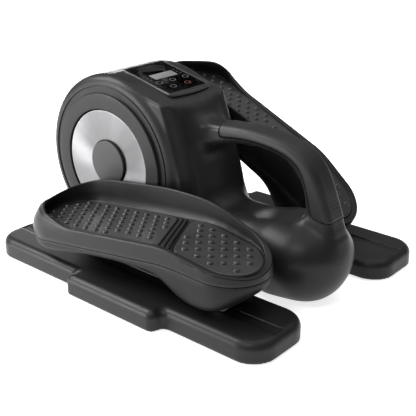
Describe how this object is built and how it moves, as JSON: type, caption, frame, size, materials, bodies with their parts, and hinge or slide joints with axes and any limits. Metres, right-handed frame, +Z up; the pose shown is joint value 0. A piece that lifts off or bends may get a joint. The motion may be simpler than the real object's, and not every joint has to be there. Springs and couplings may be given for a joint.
{
  "type": "pedal exerciser",
  "caption": "Low under-desk powered pedal exerciser: round motor housing with display and carrying handle, rocking foot trays that roll on flat side plates.",
  "frame": {"origin": "on the floor, under the middle of the two side plates", "axes": "+Z up, +X towards the heels and the carrying handle, -X towards the toes, -Y is the left foot side"},
  "size_m": [0.4304, 0.3686, 0.2347],
  "materials": {
    "body_plastic": "satin black moulded plastic with a fine texture",
    "under_plastic": "plain black moulded plastic",
    "grip_rubber": "soft-touch black inlay",
    "pedal_plastic": "satin black moulded plastic",
    "pedal_shell_plastic": "darker matte black moulded plastic",
    "pad_rubber": "matte dark grey studded rubber",
    "bezel_plastic": "satin black",
    "display_glass": "glossy near-black panel",
    "circuit_board": "green lacquered board",
    "brushed_trim": "spun silver disc",
    "hub_plastic": "satin dark grey cap",
    "painted_steel": "black powder coat",
    "motor_case": "zinc grey",
    "plain_steel": "ground steel",
    "screw_steel": "dark zinc screws",
    "pulley_plastic": "off-white acetal",
    "bush_bronze": "oiled bronze",
    "belt_rubber": "ribbed black belt",
    "foot_rubber": "black non-slip rubber",
    "tyre_rubber": "dark elastomer tread",
    "switch_plastic": "glossy black rocker"
  },
  "bodies": {
    "base": {"base_frame": "painted_steel", "bearing_bracket_left": "painted_steel", "bearing_bracket_right": "painted_steel", "control_board": "circuit_board", "cross_beam_heel": "painted_steel", "cross_beam_toe": "painted_steel", "display_bezel": "bezel_plastic", "display_board": "circuit_board", "display_lens": "display_glass", "drive_belt": "belt_rubber", "frame_bolts": "screw_steel", "handle_core": "body_plastic", "handle_grip": "grip_rubber", "housing_left": "body_plastic", "housing_right": "body_plastic", "housing_screws": "screw_steel", "motor": "motor_case", "motor_bracket": "painted_steel", "plate_base_left": "under_plastic", "plate_base_right": "under_plastic", "plate_screws": "screw_steel", "power_inlet": "under_plastic", "rubber_feet": "foot_rubber", "shaft_bearing_left": "plain_steel", "shaft_bearing_right": "plain_steel", "side_plate_left": "body_plastic", "side_plate_right": "body_plastic", "side_ring_left": "body_plastic", "side_ring_right": "body_plastic", "switch_frame": "under_plastic"},
    "crank": {"crank_shaft": "plain_steel", "crank_disc_left": "painted_steel", "crank_disc_right": "painted_steel", "disc_trim_left": "brushed_trim", "disc_trim_right": "brushed_trim", "hub_cap_left": "hub_plastic", "hub_cap_right": "hub_plastic", "crank_pin_left": "plain_steel", "crank_pin_right": "plain_steel", "drive_pulley": "pulley_plastic"},
    "motor_rotor": {"motor_pulley": "pulley_plastic"},
    "rocker": {"power_switch": "switch_plastic"},
    "left_axle": {"heel_axle_left": "plain_steel"},
    "left_roller": {"roller_tyre_left": "tyre_rubber", "roller_hub_left": "pulley_plastic"},
    "left_pedal": {"pedal_tray_left": "pedal_plastic", "pedal_shell_left": "pedal_shell_plastic", "toe_pad_left": "pad_rubber", "heel_pad_left": "pad_rubber", "pedal_bush_left": "bush_bronze"},
    "right_axle": {"heel_axle_right": "plain_steel"},
    "right_roller": {"roller_tyre_right": "tyre_rubber", "roller_hub_right": "pulley_plastic"},
    "right_pedal": {"pedal_tray_right": "pedal_plastic", "pedal_shell_right": "pedal_shell_plastic", "toe_pad_right": "pad_rubber", "heel_pad_right": "pad_rubber", "pedal_bush_right": "bush_bronze"}
  },
  "joints": [
    {"name": "crank_spin", "type": "hinge", "parent": "base", "child": "crank", "pos_m": [-0.1054, 0, 0.12], "axis": [0, 1, 0], "continuous": true},
    {"name": "motor_spin", "type": "hinge", "parent": "base", "child": "motor_rotor", "pos_m": [-0.018, 0, 0.06], "axis": [0, 1, 0], "continuous": true},
    {"name": "switch_rock", "type": "hinge", "parent": "base", "child": "rocker", "pos_m": [-0.183, 0.018, 0.032], "axis": [0, 1, 0], "range_deg": [0, 20]},
    {"name": "left_glide", "type": "slide", "parent": "base", "child": "left_axle", "axis": [1, 0, 0], "range_m": [-0.0792, 0.0264]},
    {"name": "left_roll", "type": "hinge", "parent": "left_axle", "child": "left_roller", "pos_m": [0.13115, -0.124, 0.0393], "axis": [0, 1, 0], "continuous": true},
    {"name": "left_tilt", "type": "hinge", "parent": "left_axle", "child": "left_pedal", "pos_m": [0.13115, -0.124, 0.0393], "axis": [0, 1, 0], "range_deg": [0, 29.7]},
    {"name": "right_glide", "type": "slide", "parent": "base", "child": "right_axle", "axis": [1, 0, 0], "range_m": [-0.0264, 0.0792]},
    {"name": "right_roll", "type": "hinge", "parent": "right_axle", "child": "right_roller", "pos_m": [0.07856, 0.124, 0.0393], "axis": [0, 1, 0], "continuous": true},
    {"name": "right_tilt", "type": "hinge", "parent": "right_axle", "child": "right_pedal", "pos_m": [0.07856, 0.124, 0.0393], "axis": [0, 1, 0], "range_deg": [-29.7, 0]}
  ],
  "couplings": [
    {"joint": "motor_spin", "follows": "crank_spin", "ratio": 4},
    {"joint": "right_glide", "follows": "left_glide", "ratio": -1},
    {"joint": "right_tilt", "follows": "left_tilt", "ratio": -1},
    {"joint": "left_roll", "follows": "left_glide", "rad_per_m": 66.667},
    {"joint": "right_roll", "follows": "left_glide", "rad_per_m": -66.667}
  ]
}
